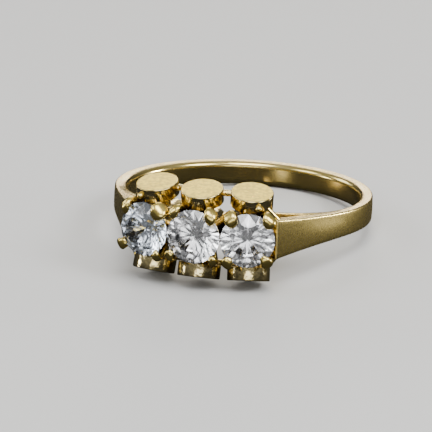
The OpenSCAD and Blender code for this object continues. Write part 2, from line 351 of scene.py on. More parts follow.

# %% [markdown]
# ## The finishes
# Gold is a metal shader with Metallic at 1: its colour is the colour of its reflections. What sets the
# finishes apart is roughness and the bump that breaks the reflection. The disc faces, the outside of the
# shank, its rim and the gallery rails are satin, and the filed ends of the leaves are duller. The inside
# of the ring, the collets, stems, claws and wires are polished, and the rims of the discs keep the marks
# of a hammer. Only the polished work of the head gets painted shade, with some tarnish, darkening its
# recesses, because the wide faces lie open.
# Eight finishes could be drawn as eight node trees. One function for the satin ones and one for the
# polished ones keep them alike, and two tables hold all that differs.

# %% How a gold finish is made
# The dark brown of the painted shade, with some tarnish, in recesses
SHADE_AND_TARNISH = (0.16, 0.11, 0.045)
SATIN_DEPTH = 0.00002  # of the grain, in metres
POLISH_DEPTH = 0.00005  # of the waves, in metres


def new_material(name, values):
    """A material, its node tree and its shader, with some of the shader's inputs set."""
    made = bpy.data.materials.new(name)
    made.use_nodes = True
    return made, made.node_tree, give(made.node_tree.nodes["Principled BSDF"], values)


def gold_finish(name, gold, deep, contrast, patch_size, shade_painted):
    """A gold material with its alloy tone, and with painted shade and some tarnish darkening its recesses
    when asked.
    """
    made, tree, shader = new_material(name, {"Metallic": 1.0})
    tone = placed(tree, alloy_tone, {
        "Gold": (*gold, 1), "Deep gold": (*deep, 1), "Contrast": contrast, "Patch size": patch_size,
    })
    colour = tone.outputs["Color"]
    # Painted shade: recesses darken towards a dark brown, with some tarnish.
    if shade_painted:
        colour = placed(tree, painted_recess_shade, {"Gold": colour, "Shade and tarnish": (*SHADE_AND_TARNISH, 1)}).outputs["Color"]
    give(shader, {"Base Color": colour})
    return made, tree, shader


def add_bump(tree, shader, height, strength, distance):
    bump = new_node(tree, "Bump", {"Strength": strength, "Distance": distance, "Height": height})
    give(shader, {"Normal": bump.outputs["Normal"]})


def satin_gold(name, gold, deep, roughness, spread, grain, strength, contrast, patch_size):
    made, tree, shader = gold_finish(name, gold, deep, contrast, patch_size, shade_painted=False)
    grains = placed(tree, satin_grain, {"Grain size": grain, "Roughness": roughness, "Spread": spread})
    give(shader, {"Roughness": grains.outputs["Roughness"]})
    add_bump(tree, shader, grains.outputs["Height"], strength, SATIN_DEPTH)
    return made


def bright_gold(name, gold, deep, roughness, waves, strength, scratches, contrast, patch_size, shade_painted):
    made, tree, shader = gold_finish(name, gold, deep, contrast, patch_size, shade_painted)
    give(shader, {"Roughness": roughness})
    polish = placed(tree, hand_polish, {"Wave size": waves, "Scratches": scratches})
    add_bump(tree, shader, polish.outputs["Height"], strength, POLISH_DEPTH)
    return made


# %% Gold finishes
PALE_GOLD = (0.87, 0.68, 0.13)
YELLOW_GOLD = (0.80, 0.64, 0.24)
DEEP_GOLD = (0.62, 0.49, 0.17)
SATIN = [  # name, gold, deep gold, roughness, its spread, grain size, bump, contrast, patch size
    ("disc_satin", PALE_GOLD, (0.66, 0.50, 0.11), 0.34, 0.3, 4500.0, 1.0, 6.0, 3500.0),
    ("shank_satin", (0.72, 0.57, 0.20), (0.62, 0.49, 0.16), 0.27, 0.08, 5200.0, 0.2, 2.0, 3000.0),
    ("rim_gold", (0.86, 0.69, 0.33), (0.80, 0.62, 0.26), 0.27, 0.1, 6000.0, 0.2, 2.0, 500.0),
    ("filed_gold", (0.88, 0.71, 0.36), YELLOW_GOLD, 0.5, 0.1, 5200.0, 0.2, 2.0, 500.0),
]
BRIGHT = [  # name, gold, deep gold, roughness, wave size, bump, scratches, contrast, patch size, painted recess shade
    ("inner_gold", YELLOW_GOLD, DEEP_GOLD, 0.2, 400.0, 0.35, 0.1, 2.0, 500.0, False),
    ("bright_gold", YELLOW_GOLD, DEEP_GOLD, 0.15, 1500.0, 0.5, 0.1, 2.0, 500.0, True),
    ("claw_gold", (0.86, 0.68, 0.21), (0.76, 0.58, 0.16), 0.25, 2200.0, 0.15, 0.1, 2.0, 500.0, True),
    ("disc_rim_gold", (0.80, 0.66, 0.32), (0.56, 0.45, 0.20), 0.15, 2800.0, 0.55, 0.3, 3.0, 1800.0, True),
]
DISC_SATIN, SHANK_SATIN, RIM_GOLD, FILED_GOLD = [satin_gold(*row) for row in SATIN]
INNER_GOLD, BRIGHT_GOLD, CLAW_GOLD, DISC_RIM_GOLD = [bright_gold(*row) for row in BRIGHT]
print("gold finishes", [row[0] for row in SATIN + BRIGHT])

# %% [markdown]
# The stones are clear and colourless, with a high refractive index: light that enters the crown is
# thrown back by the facets below, which makes the dark and light fans. Years of wear have softened the
# polish in places, so the roughness changes a little over a facet. The left stone is a shade bluer than
# the other two. A Glass shader would bend light as well, but the Principled one, with Transmission at a
# plain 1, is also understood by other programs when the ring is exported.

# %% Stone finishes
STONE_INDEX = 2.15
STONE_WEAR = {"Grain size": 1500.0, "Roughness": 0.09, "Spread": 0.1}


def stone_finish(name, tint):
    clear = {"Base Color": (*tint, 1), "IOR": STONE_INDEX, "Transmission Weight": 1.0}
    made, tree, shader = new_material(name, clear)
    give(shader, {"Roughness": placed(tree, satin_grain, STONE_WEAR).outputs["Roughness"]})
    return made


CLEAR_STONE = stone_finish("clear_stone", (0.97, 0.98, 1.0))
BLUISH_STONE = stone_finish("bluish_stone", (0.82, 0.90, 1.0))
print("stone finishes", CLEAR_STONE.name, BLUISH_STONE.name)

# %% [markdown]
# ## Tools for making pieces
# Most pieces are a section carried along a path, or a profile turned about an axis. Both make rows of
# points joined by four-sided faces. Rounded edges are part of the section, because an edge that catches
# the light is what tells the eye that this is metal. A Bevel modifier could round them afterwards, but
# here the radius changes along the way. The sides between the edges carry a few points too, so that
# smooth shading keeps them flat right up to the edge.

# %% Rows of points into faces
POLE_R = 1e-9  # a point nearer to the axis is a pole


def loft(rows):
    """Joins rows of points (each a closed loop of the same length) into faces, with flat ends."""
    count = len(rows[0])
    last = (len(rows) - 1) * count
    points = [p for row in rows for p in row]
    faces = []
    for a in range(0, last, count):
        b = a + count
        faces += [(a + j, a + (j + 1) % count, b + (j + 1) % count, b + j) for j in range(count)]
    faces += [tuple(range(count - 1, -1, -1)), tuple(range(last, last + count))]
    return points, faces


def revolve(profile, steps, closed=False):
    """Turns (radius, height) points about Z. closed joins the last point to the first."""
    points, rings = [], []
    for r, z in profile:
        if r < POLE_R:
            rings.append([len(points)])
            points.append((0, 0, z))
        else:
            rings.append(list(range(len(points), len(points) + steps)))
            points += [(r * cos(360 * k / steps), r * sin(360 * k / steps), z) for k in range(steps)]
    if closed:
        rings.append(rings[0])
    faces = []
    for a, b in zip(rings, rings[1:]):
        for k in range(steps):
            n = (k + 1) % steps
            loop = [a[k % len(a)], a[n % len(a)], b[n % len(b)], b[k % len(b)]]
            faces.append(tuple(dict.fromkeys(loop)))
    return points, faces


def heading(path, k):
    """The direction of a path at its point number k."""
    return (path[min(k + 1, len(path) - 1)] - path[max(k - 1, 0)]).normalized()


# %% Faces into a piece of the ring
SHARP_FROM = 40  # degrees between two faces


def finished(name, points, faces, looks, frame_of=Matrix(), look_of=None, sharp=SHARP_FROM):
    """A smooth-shaded object on the floor, made from upright millimetres. look_of gives a face's look."""
    mesh = bpy.data.meshes.new(name)
    mesh.from_pydata([TO_FLOOR @ frame_of @ Vector(p) for p in points], [], faces)
    for look in looks:
        mesh.materials.append(look)
    shapes = bmesh.new()
    shapes.from_mesh(mesh)
    if look_of:
        shapes.faces.ensure_lookup_table()
        for k, face in enumerate(shapes.faces):
            face.material_index = look_of(k)
    bmesh.ops.recalc_face_normals(shapes, faces=shapes.faces)
    shapes.to_mesh(mesh)
    shapes.free()
    mesh.shade_smooth()
    mesh.set_sharp_from_angle(angle=math.radians(sharp))
    return new_object(name, mesh)


def even_normals(piece):
    """Keeps large faces flat where a narrow rounded edge meets them."""
    mod = piece.modifiers.new("even_normals", "WEIGHTED_NORMAL")
    mod.weight = 80
    mod.keep_sharp = True


def settle(piece, stands_for=("ring_metal",)):
    """Fastens a finished piece to the ring's one body and hides the solids of the model that it stands for.
    """
    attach(piece, "root")
    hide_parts(*stands_for)


# %% Width of a band


def band_half(width, y, front):
    """Half the width of a band at distance front towards the stones. An arc widens it to width at y."""
    if front <= FLARE_START:
        return SHANK_W / 2
    grow = (width - SHANK_W) / 2
    r = ((y - FLARE_START) ** 2 + grow**2) / (2 * grow)
    return SHANK_W / 2 + r - math.sqrt(r * r - (front - FLARE_START) ** 2)


shoulder_wide = 2 * band_half(SHOULDER_W, SHOULDER_Y, SHOULDER_Y)
print("band", SHANK_W, "mm wide, and", round(shoulder_wide, 3), "mm at the shoulder")

# %% Rounded sections for bands
CORNER_STEPS = 6
SIDE_SHARES = (-0.8, -0.4, 0, 0.4, 0.8)  # places of the points on a side, from corner to corner
LOOP = 4 * (CORNER_STEPS + len(SIDE_SHARES))  # points in a section
LEAST_ROUND = 0.02


def band_section(base, normal, near, far, half_at, near_round, far_round, inset=0.0, middle=0.0, dome=0.0):
    """A closed loop of points: a rounded rectangle that stands upright on the plan.

    base is a point of the plan and normal its outward direction, near and far are distances along it,
    and half_at gives half the height of the section at a point of the plan. dome is the slope, in
    degrees, that the outside reaches at its edges."""
    near, far = near + inset, far - inset
    near_r, far_r = max(near_round - inset, LEAST_ROUND), max(far_round - inset, LEAST_ROUND)
    top = half_at(-(base[1] + normal[1] * far)) - inset
    edge_z = top - far_r + far_r * sin(dome)
    swell = edge_z * math.tan(math.radians(dome)) / 2
    edge = far - swell - far_r * cos(dome)
    outline = []
    for first, last, at, at_z, r in (
        (-90, -dome, edge, far_r - top, far_r),
        (dome, 90, edge, top - far_r, far_r),
        (90, 180, near + near_r, top - near_r, near_r),
        (180, 270, near + near_r, near_r - top, near_r),
    ):
        for k in range(CORNER_STEPS):
            way = first + (last - first) * k / (CORNER_STEPS - 1)
            outline.append((at + r * cos(way), at_z + r * sin(way)))
    loop = []
    for quarter in range(4):
        corner = outline[quarter * CORNER_STEPS:(quarter + 1) * CORNER_STEPS]
        (d0, z0), (d1, z1) = corner[-1], outline[(quarter + 1) * CORNER_STEPS % len(outline)]
        bulge = swell if quarter == 0 else 0
        loop += corner + [
            ((d0 + d1) / 2 + (d1 - d0) / 2 * s + bulge * (1 - s * s), (z0 + z1) / 2 + (z1 - z0) / 2 * s)
            for s in SIDE_SHARES
        ]
    points = []
    for d, z in loop:
        x, y = base[0] + normal[0] * d, base[1] + normal[1] * d
        points.append((x, y, middle + z / top * (half_at(-y) - inset)))
    return points


print("sections have", LOOP, "points")

# %% [markdown]
# ## The shank and the outer leaves
# One band of gold goes round the back of the finger. In front of it the outside runs straight on to the
# shoulders, and the band forks: this outer leaf carries on beside the stones. The section is carried from
# the end of one shoulder round the back to the other. Its inner edges are well rounded, for comfort, and
# its outer ones only just. Satin metal shows every kink, so the flat runs into the round in one smooth
# curve, and the outside is a little domed from edge to edge. The faces are told apart by their place in
# the section, so the outside can be satin, the rim softer and the inside polished.

# %% The outside, from the shoulder to the round
HAIR = 0.006  # the band stays this much inside the model
SWELL = 1.3  # degrees by which the flat leans out at the shoulder's end
ROUND_FROM = 10  # degrees past the flat where the round takes over
RUN_HANDLES = (5.0, 1.9)  # how far the curve keeps its direction at either end
HALVINGS = 30


def run_point(t):
    """A point of the outside between shoulder and round: past the flat, and out from the centre."""
    a = Vector((-FLAT_LEN, FLAT_DIST))
    d = Vector((OUTER_R * sin(ROUND_FROM), OUTER_R * cos(ROUND_FROM)))
    b = a + Vector((cos(SWELL), sin(SWELL))) * RUN_HANDLES[0]
    c = d - Vector((cos(ROUND_FROM), -sin(ROUND_FROM))) * RUN_HANDLES[1]
    return a * (1 - t) ** 3 + b * 3 * t * (1 - t) ** 2 + c * 3 * t * t * (1 - t) + d * t**3


def run_where(measure, wanted):
    """The point of that curve where a measure, which grows along it, reaches a value."""
    near, far = 0, 1
    for _ in range(HALVINGS):
        middle = (near + far) / 2
        if measure(run_point(middle)) < wanted:
            near = middle
        else:
            far = middle
    return run_point(near)


def flat_far(along):
    """How far out from the finger's centre the outside lies, across the flat, at a place along it."""
    return run_where(lambda p: p.x, -along).y - HAIR


def round_far(past):
    """Distance of the outside from the centre, at an angle past the flat."""
    if past >= ROUND_FROM:
        return OUTER_R - HAIR
    return run_where(lambda p: angle(p.x, p.y), past).length - HAIR


print("outside", round(flat_far(FLAT_LEN), 3), "mm out, across the flat, at the shoulder's end")

# %% Helpers for rows of the band
OUTER_EDGE = 0.14  # radius of the band's outer edges


def right_normal(turn):
    return (sin(turn), -cos(turn))


def shoulder_base(along):
    """A point on the plan at the finger's centre, moved along the right shoulder's flat."""
    return (-along * cos(FLAT_TURN), -along * sin(FLAT_TURN))


def shank_half(front):
    return band_half(SHOULDER_W, SHOULDER_Y, front)


def fade(value, start, end):
    """0 before start, 1 after end, and smooth between."""
    share = min(max((value - start) / (end - start), 0), 1)
    return share * share * (3 - 2 * share)


def flat_row(along, near, inner_edge, dome, inset=0.0):
    """A row of the shoulder, at a place along its flat."""
    base, normal = shoulder_base(along), right_normal(FLAT_TURN)
    return band_section(
        base, normal, near, flat_far(along), shank_half, inner_edge, OUTER_EDGE, inset=inset, dome=dome
    )


flat_end = zip(shoulder_base(FLAT_LEN), right_normal(FLAT_TURN))
print("the right flat ends at", [round(b + n * FLAT_DIST, 2) for b, n in flat_end], "on the plan")

# %% Rows of the right half
COMFORT, LEAF_EDGE = 0.42, 0.08  # radii of the inner edges, on the round and on the leaf
DOME, LEAF_DOME = 4.5, 2.0  # and the slope of the outside at its edges
END_ROUND = 0.08
END_STEPS = 4
STRAIGHT_STEPS = 28
ROUND_STEPS = 80
INSIDE_RUN = (0, 1)  # along the flat, the inside leaves the finger hole over this stretch
COMFORT_RUN = (0.4, 3)  # the inner edges get narrower
DOME_RUN = (0, 5)  # and the dome gets lower

right_rows = []
for k in range(END_STEPS + 1):  # the rounded end of the leaf
    turn = 90 * (END_STEPS - k) / END_STEPS
    along = FLAT_LEN - END_ROUND + END_ROUND * sin(turn)
    inset = END_ROUND * (1 - cos(turn))
    right_rows.append(flat_row(along, FLAT_DIST - LEAF_T, LEAF_EDGE, LEAF_DOME, inset))
for k in range(1, STRAIGHT_STEPS):
    along = (FLAT_LEN - END_ROUND) * (1 - k / STRAIGHT_STEPS)
    near = BORE_R + (FLAT_DIST - LEAF_T - BORE_R) * fade(along, *INSIDE_RUN)
    comfort = COMFORT + (LEAF_EDGE - COMFORT) * fade(along, *COMFORT_RUN)
    dome = DOME + (LEAF_DOME - DOME) * fade(along, *DOME_RUN)
    right_rows.append(flat_row(along, near, comfort, dome))
for k in range(ROUND_STEPS + 1):
    turn = FLAT_TURN + (180 - FLAT_TURN) * k / ROUND_STEPS
    far = round_far(turn - FLAT_TURN)
    right_rows.append(band_section(
        (0, 0), right_normal(turn), BORE_R, far, shank_half, COMFORT, OUTER_EDGE, dome=DOME
    ))
print("the right half has", len(right_rows), "rows")

# %% Shank
OUTSIDE, RIM, INSIDE, LEAF_END = 0, 1, 2, 3  # places of the looks in the list given below
SECTION_LOOKS = [RIM] * 3 + [OUTSIDE] * 10 + [RIM] * 11 + [INSIDE] * 12 + [RIM] * 8  # round a section


def mirrored(row):
    """The same loop on the left, with its points kept in the same order."""
    return [(-x, y, z) for x, y, z in row]


shank_rows = right_rows + [mirrored(row) for row in right_rows[-2::-1]]
shank_spans = len(shank_rows) - 1


def shank_look(k):
    """The finish of face k. The two flat end faces come last."""
    span = k // LOOP
    if span >= shank_spans:
        return INSIDE
    if min(span, shank_spans - 1 - span) < END_STEPS:
        return LEAF_END
    return SECTION_LOOKS[k % LOOP]


points, faces = loft(shank_rows)
shank = finished(
    "shank", points, faces, [SHANK_SATIN, RIM_GOLD, INNER_GOLD, FILED_GOLD], look_of=shank_look
)
settle(shank)
print("shank", len(shank.data.vertices), "points")

# %% [markdown]
# ## The inner leaves and the bridge
# The inside of the band carries on round the finger under the head. It starts inside the solid part of
# each shoulder, a hair smaller, so that the two surfaces never lie in each other. Behind the head it
# narrows to a waist, because the windows of the gallery are cut beside it. Three light holes go through.
# Rows of points can't easily leave a round hole in a curved band, so the holes are cut afterwards by a
# Boolean modifier, as a drill would, and the result is kept as the mesh.

# %% Rows of the bridge
CHEEK_W = 0.42
WINDOW_PAST = 0.1  # the gallery ends this far past the outer discs
WAIST_RUN = (-2.2, 0.6)  # degrees about the window's end over which the bridge widens
WAIST_EDGE = 0.12
BRIDGE_EDGE = 0.08
BRIDGE_END = 66
BURIED = 0.012
BURIED_RUN = (50, 58)  # degrees over which the bridge gets a hair smaller


def arc_turn(length, r):
    """The angle that a length takes on a circle."""
    return length / r * 180 / math.pi


WINDOW_TURN = DISC_TURN + math.degrees(math.asin((DISC_R + WINDOW_PAST) / GALLERY_R))
WINDOW_TURN -= arc_turn(CHEEK_W, GALLERY_R)


def bridge_row(turn):
    narrow = 1 - fade(abs(turn), WINDOW_TURN + WAIST_RUN[0], WINDOW_TURN + WAIST_RUN[1])
    sunk = BURIED * fade(abs(turn), *BURIED_RUN)

    def half(front):
        wide = band_half(BRIDGE_W, BRIDGE_R, front) - sunk
        return wide + (WAIST_W / 2 - wide) * narrow

    comfort = WAIST_EDGE + (COMFORT - WAIST_EDGE) * (1 - narrow)
    return band_section(
        (0, 0), right_normal(turn), BORE_R + sunk, BRIDGE_R, half, comfort, BRIDGE_EDGE,
        middle=STONE_RAISE * narrow,
    )


bridge_rows = [bridge_row(turn) for turn in range(BRIDGE_END, -BRIDGE_END - 1, -1)]
print("bridge", len(bridge_rows), "rows")

# %% Bridge with its light holes
BRIDGE_INSIDE = range(16, 36)  # the sides of the section that face the finger
HOLE_STEPS = 64
HOLE_CLEAR = 0.02
HOLE_PAST = 1  # the cutters reach this far out of the bridge


def bridge_look(k):
    return int(k % LOOP in BRIDGE_INSIDE and k < (len(bridge_rows) - 1) * LOOP)


def hole_cutter(place):
    low, high = BORE_R - HOLE_PAST, BRIDGE_R + HOLE_PAST
    r = LIGHT_HOLE_R + HOLE_CLEAR
    points, faces = revolve([(0, low), (r, low), (r, high), (0, high)], HOLE_STEPS)
    return finished("hole_cutter", points, faces, [BRIGHT_GOLD], at_stone(place))


def drill(piece, cutters):
    """Cuts holes through a piece and keeps the result as its mesh."""
    for cutter in cutters:
        mod = piece.modifiers.new("hole", "BOOLEAN")
        mod.operation = "DIFFERENCE"
        mod.solver = "EXACT"
        mod.object = cutter
    graph = bpy.context.evaluated_depsgraph_get()
    cut = bpy.data.meshes.new_from_object(piece.evaluated_get(graph))
    old = piece.data
    piece.modifiers.clear()
    piece.data = cut
    bpy.data.meshes.remove(old)
    for cutter in cutters:
        bpy.data.objects.remove(cutter)


points, faces = loft(bridge_rows)
bridge = finished("bridge", points, faces, [RIM_GOLD, INNER_GOLD], look_of=bridge_look)
drill(bridge, [hole_cutter(place) for place in PLACES])
bridge.data.set_sharp_from_angle(angle=math.radians(SHARP_FROM))
even_normals(bridge)
settle(bridge)
print("bridge", len(bridge.data.vertices), "points")

# %% [markdown]
# ## The gallery
# Behind the discs, a rail above and a rail below join the three settings. At each end the rail turns
# down to the inner leaf. Each is a flat wire bent round the finger, so its path is drawn on the unrolled
# cylinder, as an angle and a height, and the section is carried along it. A curve object with a bevel
# would make a wire too, but its flat section may twist on a path that bends two ways.

# %% Path of a gallery rail
RAIL_R = GALLERY_R - GALLERY_T / 2
RAIL_Z = GALLERY_W / 2 - RAIL_W / 2
RAIL_BEND = 0.55
RAIL_STEPS = 24
BEND_STEPS = 8
CHEEK_TURN = WINDOW_TURN + arc_turn(CHEEK_W / 2, GALLERY_R)
CHEEK_HEIGHTS = (0.7, 1.2, RAIL_Z - RAIL_BEND)


def on_gallery(turn, z):
    return Vector((RAIL_R * sin(turn), -RAIL_R * cos(turn), STONE_RAISE + z))


def rail_path():
    """(angle, height) along the upper rail: up one cheek, round a bend, along, and down the other."""
    bend = arc_turn(RAIL_BEND, RAIL_R)
    half = [(CHEEK_TURN, z) for z in CHEEK_HEIGHTS]
    for k in range(1, BEND_STEPS):
        way = 90 * k / BEND_STEPS
        half.append((CHEEK_TURN - bend * (1 - cos(way)), RAIL_Z - RAIL_BEND * (1 - sin(way))))
    top = CHEEK_TURN - bend
    along = [(top - 2 * top * k / RAIL_STEPS, RAIL_Z) for k in range(RAIL_STEPS + 1)]
    return half + along + [(-turn, z) for turn, z in reversed(half)]


print("a rail's path has", len(rail_path()), "points")

# %% Gallery rails
RAIL_EDGE = 0.2
EDGE_STEPS = 3


def flat_wire(path, width, thick, edge):
    """A rounded rectangle carried along a path round the finger."""
    rows = []
    for k, here in enumerate(path):
        outward = Vector((here.x, here.y, 0)).normalized()
        across = heading(path, k).cross(outward).normalized()
        row = []
        for start, out, aside in ((0, 1, 1), (90, -1, 1), (180, -1, -1), (270, 1, -1)):
            for n in range(EDGE_STEPS + 1):
                way = start + 90 * n / EDGE_STEPS
                u = out * (thick / 2 - edge) + edge * cos(way)
                v = aside * (width / 2 - edge) + edge * sin(way)
                row.append(here + outward * u + across * v)
        rows.append(row)
    return loft(rows)


for end, end_label in ENDS.items():
    path = [on_gallery(turn, end * z) for turn, z in rail_path()]
    points, faces = flat_wire(path, RAIL_W, GALLERY_T, RAIL_EDGE)
    settle(finished(f"gallery_rail_{end_label}", points, faces, [RIM_GOLD]))
print("gallery rails, each", len(points), "points")

# %% [markdown]
# ## The collets
# Under each stone is a short tube. The light hole runs up through it to the stone's point. Its wall
# leans out to a wider lip that meets the claws, and inside, the lip is cut to the slope of the stone, a few
# hundredths of a millimetre clear. A goldsmith turns such a tube on a lathe, and a profile turned about
# the stone's middle does the same. Cutting it out of a block with Boolean modifiers would be slower and
# leave long thin faces.

# %% Collets
SEAT_GAP = 0.04
COLLET_LIP_R = 1.9
SEAT_R = COLLET_LIP_R - 0.12
LIP_TOP = (0.03, 0.01)  # the lip's top lies this far inside its edge, and above the seat's end
LIP_DROP = 0.04  # the lip is widest this far below the seat's end
COLLET_DROP = 1.1  # and the wall is straight from here down
FOOT_RISE = 0.12  # the foot ends in the bridge, this far from the finger hole
FOOT_EDGE = 0.05
COLLET_STEPS = 96
COLLET_SHARP = 30


def under_stone(r):
    """Height of the stone's underside at distance r from its middle, less the seat's gap."""
    return GIRDLE_Y - GIRDLE_T / 2 - PAVILION_H * (1 - r / STONE_R) - SEAT_GAP


foot = BORE_R + FOOT_RISE
seat_end = under_stone(SEAT_R)
profile = [
    (LIGHT_HOLE_R, foot + FOOT_EDGE),
    (LIGHT_HOLE_R, under_stone(LIGHT_HOLE_R)),
    (SEAT_R, seat_end),
    (COLLET_LIP_R - LIP_TOP[0], seat_end + LIP_TOP[1]),
    (COLLET_LIP_R, seat_end - LIP_DROP),
    (COLLET_R, seat_end - COLLET_DROP),
    (COLLET_R, foot + FOOT_EDGE),
    (COLLET_R - FOOT_EDGE, foot),
    (LIGHT_HOLE_R + FOOT_EDGE, foot),
]
points, faces = revolve(profile, COLLET_STEPS, closed=True)
for place, label in PLACES.items():
    settle(finished(f"collet_{label}", points, faces, [BRIGHT_GOLD], at_stone(place), sharp=COLLET_SHARP))
print("collets, each", len(points), "points")

# %% [markdown]
# ## The side discs
# Each disc is a plain coin with a satin face and a hammered rim. A thin bright line runs round the face,
# where the edge was broken with a file: it is a rounded edge of a few hundredths of a millimetre. The
# stem that carries the disc is a short rod with a small flare where it was soldered on. A cylinder with a
# Bevel modifier would come close. A turned profile also gives the face rings of points, which help to
# keep it flat, and it lists the faces from the middle outwards, so face and rim are easy to tell apart.

# %% Profiles of a disc and its stem
BROKEN_EDGE = 0.07
FACE_RINGS = (0, 0.3, 0.7, 1.1, 1.4)  # radii of the rings of points on a face
DISC_STEPS = 128
STEM_R = 0.85
STEM_LEN = DISC_Z - STONE_RAISE - COLLET_R / 2 - LIGHT_HOLE_R / 2  # down to the collet's wall
STEM_IN = 0.03  # the stem starts inside the disc
STEM_FLARE = [(0.18, STEM_IN), (0.06, -0.06), (0, -0.2)]  # beyond the stem's side, and past the disc's back
STEM_STEPS = 64

edge_arc = [(BROKEN_EDGE * (1 - cos(a)), BROKEN_EDGE * (1 - sin(a))) for a in (0, 22.5, 45, 67.5, 90)]
front_half = [(r, 0) for r in FACE_RINGS]
front_half += [(DISC_R - inward, -down) for inward, down in reversed(edge_arc)]
back_half = [(r, -DISC_T - z) for r, z in reversed(front_half)]
disc_points, disc_faces = revolve(front_half + back_half, DISC_STEPS)
flare = [(STEM_R + wider, -DISC_T + past) for wider, past in STEM_FLARE]
stem_profile = [(0, -DISC_T + STEM_IN), *flare, (STEM_R, -STEM_LEN), (0, -STEM_LEN)]
stem_points, stem_faces = revolve(stem_profile, STEM_STEPS)
print("a disc has", len(disc_points), "points and a stem", len(stem_points))

# %% Side discs and stems
FACE_COUNT = DISC_STEPS * len(FACE_RINGS)


def disc_look(k):
    return int(k >= FACE_COUNT)


for place, label in PLACES.items():
    for end, end_label in ENDS.items():
        disc = finished(
            f"disc_{end_label}_{label}", disc_points, disc_faces, [DISC_SATIN, DISC_RIM_GOLD],
            at_disc(place, end), look_of=disc_look,
        )
        even_normals(disc)
        settle(disc)
        settle(finished(
            f"stem_{end_label}_{label}", stem_points, stem_faces, [BRIGHT_GOLD], at_disc(place, end)
        ))
print("discs", len(PLACES) * len(ENDS))

# %% [markdown]
# ## The claws
# Each stone is held by four claws. A claw rises from the collet, leans out to the stone's edge and is
# bent over the crown, where it ends in a flat rounded tongue. Each is one path in the plane of the claw,
# with a width and a thickness at every point, and a subdivision surface rounds it off. A goldsmith bends
# each by hand, so the turn, reach, lean and width differ a little from claw to claw. They could be
# sculpted, but then each would be work of its own. Here each is an entry in a table. A tongue that leans
# to one side, or that stops short, lies further down the slope of the crown.

# %% Rows of a claw
CLAW_PATH = [  # distance from the stone's middle, depth below the table, width, thickness
    (1.25, 3.60, 0.70, 0.36), (1.45, 2.60, 0.70, 0.38), (1.84, 1.80, 0.74, 0.44),
    (2.22, 1.25, 0.84, 0.50), (2.38, 0.86, 0.98, 0.54), (2.38, 0.54, 1.10, 0.52),
    (2.25, 0.30, 1.12, 0.44), (2.06, 0.20, 1.00, 0.38), (1.86, 0.21, 0.76, 0.30),
    (1.68, 0.29, 0.44, 0.20),
]
CLAW_SECTION = [  # shares of the thickness and of half the width
    (0.5, 0.62), (0.5, 0), (0.5, -0.62), (0, -1), (-0.5, -0.62), (-0.5, 0), (-0.5, 0.62), (0, 1),
]
BEND = 4  # the row where the tongue starts
SAG = 0.25  # a leaning tongue follows the crown down
CROWN_SLOPE = CROWN_H / (STONE_R - TABLE_R)


def claw_rows(reach, lean, wide):
    """Rows of points round the path of a claw.

    reach moves the tip towards the stone's middle, lean moves it sideways, and wide is a factor."""
    path = []
    for k, (r, drop, width, thick) in enumerate(CLAW_PATH):
        share = max(0, (k - BEND) / (len(CLAW_PATH) - 1 - BEND))
        grow = 1 + (wide - 1) * min(k / BEND, 1)
        down = share * (SAG * lean**2 + CROWN_SLOPE * max(-reach, 0))
        path.append((r - reach * share, lean * share, TABLE_Y - drop - down, width * grow, thick))
    rows = []
    for k, (r, aside, z, width, thick) in enumerate(path):
        a, b = path[max(k - 1, 0)], path[min(k + 1, len(path) - 1)]
        dr, dz = b[0] - a[0], b[2] - a[2]
        size = math.hypot(dr, dz)
        out_r, out_z = dz / size, -dr / size
        rows.append([
            (r + out_r * u * thick, aside + v * width / 2, z + out_z * u * thick) for u, v in CLAW_SECTION
        ])
    return rows


print("a claw has", len(CLAW_PATH), "rows of", len(CLAW_SECTION), "points")

# %% Claws
CLAWS = [  # stone, turn above the row of stones, reach, lean, width
    (-1, 126, 0.10, 0.45, 0.85), (-1, 49, 0.20, -0.10, 1.35),
    (-1, -143, 0.10, 0.10, 0.95), (-1, -55, -0.15, 0.30, 0.75),
    (0, 123, -0.15, 0.45, 1.00), (0, 57, 0.10, -0.40, 1.10),
    (0, -135, -0.15, -0.20, 0.85), (0, -47, -0.25, 0.20, 0.75),
    (1, 127, 0.25, 0.15, 1.10), (1, 50, 0.05, -0.25, 1.20),
    (1, -129, -0.05, -0.15, 1.00), (1, -48, 0.20, 0.10, 0.90),
]
CLAWS_EACH = 4
NEVER_SHARP = 180
ROUND_LEVELS = 3

for n, (place, turn, reach, lean, wide) in enumerate(CLAWS):
    points, faces = loft(claw_rows(reach, lean, wide))
    claw = finished(
        f"claw_{PLACES[place]}_{n % CLAWS_EACH + 1}", points, faces, [CLAW_GOLD],
        at_stone(place) @ turned(turn, "Z"), sharp=NEVER_SHARP,
    )
    rounded = claw.modifiers.new("rounded", "SUBSURF")
    rounded.levels = rounded.render_levels = ROUND_LEVELS
    settle(claw)
print("claws", len(CLAWS))

# %% [markdown]
# ## The corner wires
# A round wire runs from the end of each shoulder up to the rim of the outer disc, and ties the leaf to
# the head. Beside the upper two, a small bead sits on the rim of the disc, like a drop of solder.
# A straight wire could be a plain cylinder. A circle carried along a path lets it swell towards the
# shoulder, as if solder had run up it. One wire is worked out, and a matrix mirrors it to the four corners.

# %% Path of a corner wire
WIRE_STEPS = 24
WIRE_SPANS = 10
FOOT_SWELL = 0.25  # the wire is this much thicker at the shoulder
FOOT_SPANS = 2


def wire_ends():
    """Where the upper right wire leaves the shoulder and where it meets the disc."""
    base, normal = shoulder_base(FLAT_LEN - LEAF_T), right_normal(FLAT_TURN)
    out = FLAT_DIST - LEAF_T / 2
    start = Vector((base[0] + normal[0] * out, base[1] + normal[1] * out, SHOULDER_W / 2 - WIRE_D))
    reach = (DISC_R - WIRE_D / 2) * sin(45)
    deep = DISC_T - WIRE_D / 2
    away = DISC_Y - deep * sin(DISC_LEAN) + reach * cos(DISC_LEAN)
    stop = Vector((
        reach * cos(DISC_TURN) + away * sin(DISC_TURN),
        reach * sin(DISC_TURN) - away * cos(DISC_TURN),
        DISC_Z - deep * cos(DISC_LEAN) - reach * sin(DISC_LEAN),
    ))
    return start, stop


